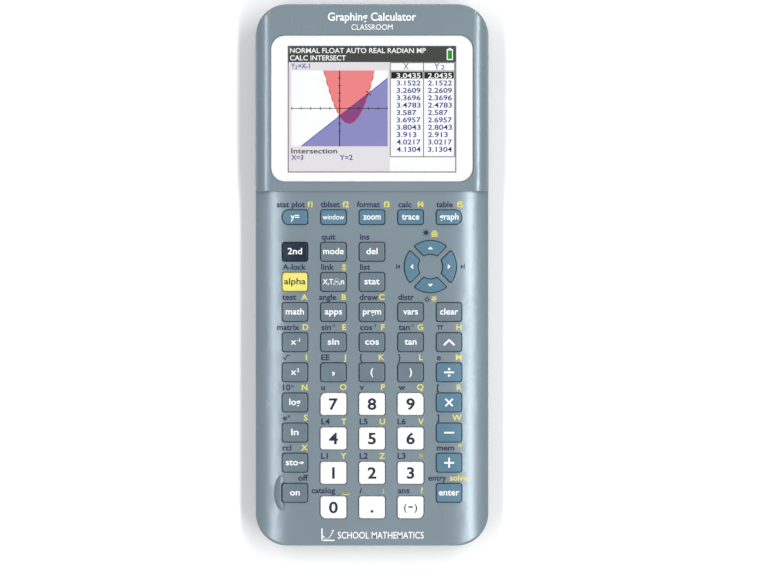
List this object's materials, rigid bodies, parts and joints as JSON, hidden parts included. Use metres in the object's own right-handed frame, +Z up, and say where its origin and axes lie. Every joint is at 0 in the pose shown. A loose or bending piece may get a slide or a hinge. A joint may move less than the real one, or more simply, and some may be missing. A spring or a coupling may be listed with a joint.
{
  "type": "graphing calculator",
  "caption": "Handheld graphing calculator with a colour display, keys that press in on a rubber sheet, a rechargeable battery bay in the back and a data port in the side.",
  "frame": {"origin": "on the surface the feet stand on, under the middle of the body seen from above", "axes": "+X to the right of a person reading the keys, +Y towards the display end, +Z up out of the face"},
  "size_m": [0.0794, 0.1842, 0.0152],
  "materials": {
    "front_plastic": "fine satin moulded texture",
    "rear_plastic": "fine matt moulded texture",
    "cover_plastic": "fine matt moulded texture",
    "clear_window": "clear and polished",
    "display_frame": "white frame",
    "membrane_rubber": "matt silicone",
    "board": "solder-mask green",
    "battery_wrap": "film wrap",
    "screw_steel": "plated",
    "reset_plastic": "matt",
    "white_key": "satin",
    "navy_key": "satin",
    "yellow_key": "satin",
    "blue_key": "satin",
    "grey_key": "satin"
  },
  "bodies": {
    "calculator": {"front_case": "front_plastic", "rear_case": "rear_plastic", "display_window": "clear_window", "display_module": "display_frame", "key_membrane": "membrane_rubber", "circuit_board": "board", "battery_pack": "battery_wrap", "battery_cover": "cover_plastic", "case_screws": "screw_steel"},
    "reset_button": {"reset_button": "reset_plastic"},
    "key_0": {"key_0": "white_key"},
    "key_1": {"key_1": "white_key"},
    "key_2": {"key_2": "white_key"},
    "key_3": {"key_3": "white_key"},
    "key_4": {"key_4": "white_key"},
    "key_5": {"key_5": "white_key"},
    "key_6": {"key_6": "white_key"},
    "key_7": {"key_7": "white_key"},
    "key_8": {"key_8": "white_key"},
    "key_9": {"key_9": "white_key"},
    "key_alpha": {"key_alpha": "yellow_key"},
    "key_apps": {"key_apps": "grey_key"},
    "key_arrow_down": {"key_arrow_down": "blue_key"},
    "key_arrow_left": {"key_arrow_left": "blue_key"},
    "key_arrow_right": {"key_arrow_right": "blue_key"},
    "key_arrow_up": {"key_arrow_up": "blue_key"},
    "key_clear": {"key_clear": "grey_key"},
    "key_close_bracket": {"key_close_bracket": "grey_key"},
    "key_comma": {"key_comma": "grey_key"},
    "key_cosine": {"key_cosine": "grey_key"},
    "key_delete": {"key_delete": "grey_key"},
    "key_divide": {"key_divide": "blue_key"},
    "key_enter": {"key_enter": "blue_key"},
    "key_graph": {"key_graph": "blue_key"},
    "key_log": {"key_log": "grey_key"},
    "key_math": {"key_math": "grey_key"},
    "key_minus": {"key_minus": "blue_key"},
    "key_mode": {"key_mode": "grey_key"},
    "key_multiply": {"key_multiply": "blue_key"},
    "key_natural_log": {"key_natural_log": "grey_key"},
    "key_negative": {"key_negative": "white_key"},
    "key_on": {"key_on": "grey_key"},
    "key_open_bracket": {"key_open_bracket": "grey_key"},
    "key_plus": {"key_plus": "blue_key"},
    "key_point": {"key_point": "white_key"},
    "key_power": {"key_power": "grey_key"},
    "key_program": {"key_program": "grey_key"},
    "key_reciprocal": {"key_reciprocal": "grey_key"},
    "key_second": {"key_second": "navy_key"},
    "key_sine": {"key_sine": "grey_key"},
    "key_square": {"key_square": "grey_key"},
    "key_statistics": {"key_statistics": "grey_key"},
    "key_store": {"key_store": "grey_key"},
    "key_tangent": {"key_tangent": "grey_key"},
    "key_trace": {"key_trace": "blue_key"},
    "key_variable": {"key_variable": "grey_key"},
    "key_vars": {"key_vars": "grey_key"},
    "key_window": {"key_window": "blue_key"},
    "key_y_equals": {"key_y_equals": "blue_key"},
    "key_zoom": {"key_zoom": "blue_key"}
  },
  "joints": [
    {"name": "key_0_press", "type": "slide", "parent": "calculator", "child": "key_0", "axis": [0, 0, -1], "range_m": [0, 0.001], "stiffness_N_per_m": 900, "springref_m": -0.0004, "deforming": ["key_membrane"]},
    {"name": "key_1_press", "type": "slide", "parent": "calculator", "child": "key_1", "axis": [0, 0, -1], "range_m": [0, 0.001], "stiffness_N_per_m": 900, "springref_m": -0.0004, "deforming": ["key_membrane"]},
    {"name": "key_2_press", "type": "slide", "parent": "calculator", "child": "key_2", "axis": [0, 0, -1], "range_m": [0, 0.001], "stiffness_N_per_m": 900, "springref_m": -0.0004, "deforming": ["key_membrane"]},
    {"name": "key_3_press", "type": "slide", "parent": "calculator", "child": "key_3", "axis": [0, 0, -1], "range_m": [0, 0.001], "stiffness_N_per_m": 900, "springref_m": -0.0004, "deforming": ["key_membrane"]},
    {"name": "key_4_press", "type": "slide", "parent": "calculator", "child": "key_4", "axis": [0, 0, -1], "range_m": [0, 0.001], "stiffness_N_per_m": 900, "springref_m": -0.0004, "deforming": ["key_membrane"]},
    {"name": "key_5_press", "type": "slide", "parent": "calculator", "child": "key_5", "axis": [0, 0, -1], "range_m": [0, 0.001], "stiffness_N_per_m": 900, "springref_m": -0.0004, "deforming": ["key_membrane"]},
    {"name": "key_6_press", "type": "slide", "parent": "calculator", "child": "key_6", "axis": [0, 0, -1], "range_m": [0, 0.001], "stiffness_N_per_m": 900, "springref_m": -0.0004, "deforming": ["key_membrane"]},
    {"name": "key_7_press", "type": "slide", "parent": "calculator", "child": "key_7", "axis": [0, 0, -1], "range_m": [0, 0.001], "stiffness_N_per_m": 900, "springref_m": -0.0004, "deforming": ["key_membrane"]},
    {"name": "key_8_press", "type": "slide", "parent": "calculator", "child": "key_8", "axis": [0, 0, -1], "range_m": [0, 0.001], "stiffness_N_per_m": 900, "springref_m": -0.0004, "deforming": ["key_membrane"]},
    {"name": "key_9_press", "type": "slide", "parent": "calculator", "child": "key_9", "axis": [0, 0, -1], "range_m": [0, 0.001], "stiffness_N_per_m": 900, "springref_m": -0.0004, "deforming": ["key_membrane"]},
    {"name": "key_alpha_press", "type": "slide", "parent": "calculator", "child": "key_alpha", "axis": [0, 0, -1], "range_m": [0, 0.001], "stiffness_N_per_m": 900, "springref_m": -0.0004, "deforming": ["key_membrane"]},
    {"name": "key_apps_press", "type": "slide", "parent": "calculator", "child": "key_apps", "axis": [0, 0, -1], "range_m": [0, 0.001], "stiffness_N_per_m": 900, "springref_m": -0.0004, "deforming": ["key_membrane"]},
    {"name": "key_arrow_down_press", "type": "slide", "parent": "calculator", "child": "key_arrow_down", "axis": [0, 0, -1], "range_m": [0, 0.001], "stiffness_N_per_m": 900, "springref_m": -0.0004, "deforming": ["key_membrane"]},
    {"name": "key_arrow_left_press", "type": "slide", "parent": "calculator", "child": "key_arrow_left", "axis": [0, 0, -1], "range_m": [0, 0.001], "stiffness_N_per_m": 900, "springref_m": -0.0004, "deforming": ["key_membrane"]},
    {"name": "key_arrow_right_press", "type": "slide", "parent": "calculator", "child": "key_arrow_right", "axis": [0, 0, -1], "range_m": [0, 0.001], "stiffness_N_per_m": 900, "springref_m": -0.0004, "deforming": ["key_membrane"]},
    {"name": "key_arrow_up_press", "type": "slide", "parent": "calculator", "child": "key_arrow_up", "axis": [0, 0, -1], "range_m": [0, 0.001], "stiffness_N_per_m": 900, "springref_m": -0.0004, "deforming": ["key_membrane"]},
    {"name": "key_clear_press", "type": "slide", "parent": "calculator", "child": "key_clear", "axis": [0, 0, -1], "range_m": [0, 0.001], "stiffness_N_per_m": 900, "springref_m": -0.0004, "deforming": ["key_membrane"]},
    {"name": "key_close_bracket_press", "type": "slide", "parent": "calculator", "child": "key_close_bracket", "axis": [0, 0, -1], "range_m": [0, 0.001], "stiffness_N_per_m": 900, "springref_m": -0.0004, "deforming": ["key_membrane"]},
    {"name": "key_comma_press", "type": "slide", "parent": "calculator", "child": "key_comma", "axis": [0, 0, -1], "range_m": [0, 0.001], "stiffness_N_per_m": 900, "springref_m": -0.0004, "deforming": ["key_membrane"]},
    {"name": "key_cosine_press", "type": "slide", "parent": "calculator", "child": "key_cosine", "axis": [0, 0, -1], "range_m": [0, 0.001], "stiffness_N_per_m": 900, "springref_m": -0.0004, "deforming": ["key_membrane"]},
    {"name": "key_delete_press", "type": "slide", "parent": "calculator", "child": "key_delete", "axis": [0, 0, -1], "range_m": [0, 0.001], "stiffness_N_per_m": 900, "springref_m": -0.0004, "deforming": ["key_membrane"]},
    {"name": "key_divide_press", "type": "slide", "parent": "calculator", "child": "key_divide", "axis": [0, 0, -1], "range_m": [0, 0.001], "stiffness_N_per_m": 900, "springref_m": -0.0004, "deforming": ["key_membrane"]},
    {"name": "key_enter_press", "type": "slide", "parent": "calculator", "child": "key_enter", "axis": [0, 0, -1], "range_m": [0, 0.001], "stiffness_N_per_m": 900, "springref_m": -0.0004, "deforming": ["key_membrane"]},
    {"name": "key_graph_press", "type": "slide", "parent": "calculator", "child": "key_graph", "axis": [0, 0, -1], "range_m": [0, 0.001], "stiffness_N_per_m": 900, "springref_m": -0.0004, "deforming": ["key_membrane"]},
    {"name": "key_log_press", "type": "slide", "parent": "calculator", "child": "key_log", "axis": [0, 0, -1], "range_m": [0, 0.001], "stiffness_N_per_m": 900, "springref_m": -0.0004, "deforming": ["key_membrane"]},
    {"name": "key_math_press", "type": "slide", "parent": "calculator", "child": "key_math", "axis": [0, 0, -1], "range_m": [0, 0.001], "stiffness_N_per_m": 900, "springref_m": -0.0004, "deforming": ["key_membrane"]},
    {"name": "key_minus_press", "type": "slide", "parent": "calculator", "child": "key_minus", "axis": [0, 0, -1], "range_m": [0, 0.001], "stiffness_N_per_m": 900, "springref_m": -0.0004, "deforming": ["key_membrane"]},
    {"name": "key_mode_press", "type": "slide", "parent": "calculator", "child": "key_mode", "axis": [0, 0, -1], "range_m": [0, 0.001], "stiffness_N_per_m": 900, "springref_m": -0.0004, "deforming": ["key_membrane"]},
    {"name": "key_multiply_press", "type": "slide", "parent": "calculator", "child": "key_multiply", "axis": [0, 0, -1], "range_m": [0, 0.001], "stiffness_N_per_m": 900, "springref_m": -0.0004, "deforming": ["key_membrane"]},
    {"name": "key_natural_log_press", "type": "slide", "parent": "calculator", "child": "key_natural_log", "axis": [0, 0, -1], "range_m": [0, 0.001], "stiffness_N_per_m": 900, "springref_m": -0.0004, "deforming": ["key_membrane"]},
    {"name": "key_negative_press", "type": "slide", "parent": "calculator", "child": "key_negative", "axis": [0, 0, -1], "range_m": [0, 0.001], "stiffness_N_per_m": 900, "springref_m": -0.0004, "deforming": ["key_membrane"]},
    {"name": "key_on_press", "type": "slide", "parent": "calculator", "child": "key_on", "axis": [0, 0, -1], "range_m": [0, 0.001], "stiffness_N_per_m": 900, "springref_m": -0.0004, "deforming": ["key_membrane"]},
    {"name": "key_open_bracket_press", "type": "slide", "parent": "calculator", "child": "key_open_bracket", "axis": [0, 0, -1], "range_m": [0, 0.001], "stiffness_N_per_m": 900, "springref_m": -0.0004, "deforming": ["key_membrane"]},
    {"name": "key_plus_press", "type": "slide", "parent": "calculator", "child": "key_plus", "axis": [0, 0, -1], "range_m": [0, 0.001], "stiffness_N_per_m": 900, "springref_m": -0.0004, "deforming": ["key_membrane"]},
    {"name": "key_point_press", "type": "slide", "parent": "calculator", "child": "key_point", "axis": [0, 0, -1], "range_m": [0, 0.001], "stiffness_N_per_m": 900, "springref_m": -0.0004, "deforming": ["key_membrane"]},
    {"name": "key_power_press", "type": "slide", "parent": "calculator", "child": "key_power", "axis": [0, 0, -1], "range_m": [0, 0.001], "stiffness_N_per_m": 900, "springref_m": -0.0004, "deforming": ["key_membrane"]},
    {"name": "key_program_press", "type": "slide", "parent": "calculator", "child": "key_program", "axis": [0, 0, -1], "range_m": [0, 0.001], "stiffness_N_per_m": 900, "springref_m": -0.0004, "deforming": ["key_membrane"]},
    {"name": "key_reciprocal_press", "type": "slide", "parent": "calculator", "child": "key_reciprocal", "axis": [0, 0, -1], "range_m": [0, 0.001], "stiffness_N_per_m": 900, "springref_m": -0.0004, "deforming": ["key_membrane"]},
    {"name": "key_second_press", "type": "slide", "parent": "calculator", "child": "key_second", "axis": [0, 0, -1], "range_m": [0, 0.001], "stiffness_N_per_m": 900, "springref_m": -0.0004, "deforming": ["key_membrane"]},
    {"name": "key_sine_press", "type": "slide", "parent": "calculator", "child": "key_sine", "axis": [0, 0, -1], "range_m": [0, 0.001], "stiffness_N_per_m": 900, "springref_m": -0.0004, "deforming": ["key_membrane"]},
    {"name": "key_square_press", "type": "slide", "parent": "calculator", "child": "key_square", "axis": [0, 0, -1], "range_m": [0, 0.001], "stiffness_N_per_m": 900, "springref_m": -0.0004, "deforming": ["key_membrane"]},
    {"name": "key_statistics_press", "type": "slide", "parent": "calculator", "child": "key_statistics", "axis": [0, 0, -1], "range_m": [0, 0.001], "stiffness_N_per_m": 900, "springref_m": -0.0004, "deforming": ["key_membrane"]},
    {"name": "key_store_press", "type": "slide", "parent": "calculator", "child": "key_store", "axis": [0, 0, -1], "range_m": [0, 0.001], "stiffness_N_per_m": 900, "springref_m": -0.0004, "deforming": ["key_membrane"]},
    {"name": "key_tangent_press", "type": "slide", "parent": "calculator", "child": "key_tangent", "axis": [0, 0, -1], "range_m": [0, 0.001], "stiffness_N_per_m": 900, "springref_m": -0.0004, "deforming": ["key_membrane"]},
    {"name": "key_trace_press", "type": "slide", "parent": "calculator", "child": "key_trace", "axis": [0, 0, -1], "range_m": [0, 0.001], "stiffness_N_per_m": 900, "springref_m": -0.0004, "deforming": ["key_membrane"]},
    {"name": "key_variable_press", "type": "slide", "parent": "calculator", "child": "key_variable", "axis": [0, 0, -1], "range_m": [0, 0.001], "stiffness_N_per_m": 900, "springref_m": -0.0004, "deforming": ["key_membrane"]},
    {"name": "key_vars_press", "type": "slide", "parent": "calculator", "child": "key_vars", "axis": [0, 0, -1], "range_m": [0, 0.001], "stiffness_N_per_m": 900, "springref_m": -0.0004, "deforming": ["key_membrane"]},
    {"name": "key_window_press", "type": "slide", "parent": "calculator", "child": "key_window", "axis": [0, 0, -1], "range_m": [0, 0.001], "stiffness_N_per_m": 900, "springref_m": -0.0004, "deforming": ["key_membrane"]},
    {"name": "key_y_equals_press", "type": "slide", "parent": "calculator", "child": "key_y_equals", "axis": [0, 0, -1], "range_m": [0, 0.001], "stiffness_N_per_m": 900, "springref_m": -0.0004, "deforming": ["key_membrane"]},
    {"name": "key_zoom_press", "type": "slide", "parent": "calculator", "child": "key_zoom", "axis": [0, 0, -1], "range_m": [0, 0.001], "stiffness_N_per_m": 900, "springref_m": -0.0004, "deforming": ["key_membrane"]},
    {"name": "reset_press", "type": "slide", "parent": "calculator", "child": "reset_button", "axis": [0, 0, 1], "range_m": [0, 0.0004], "stiffness_N_per_m": 1500, "springref_m": -0.0002}
  ]
}
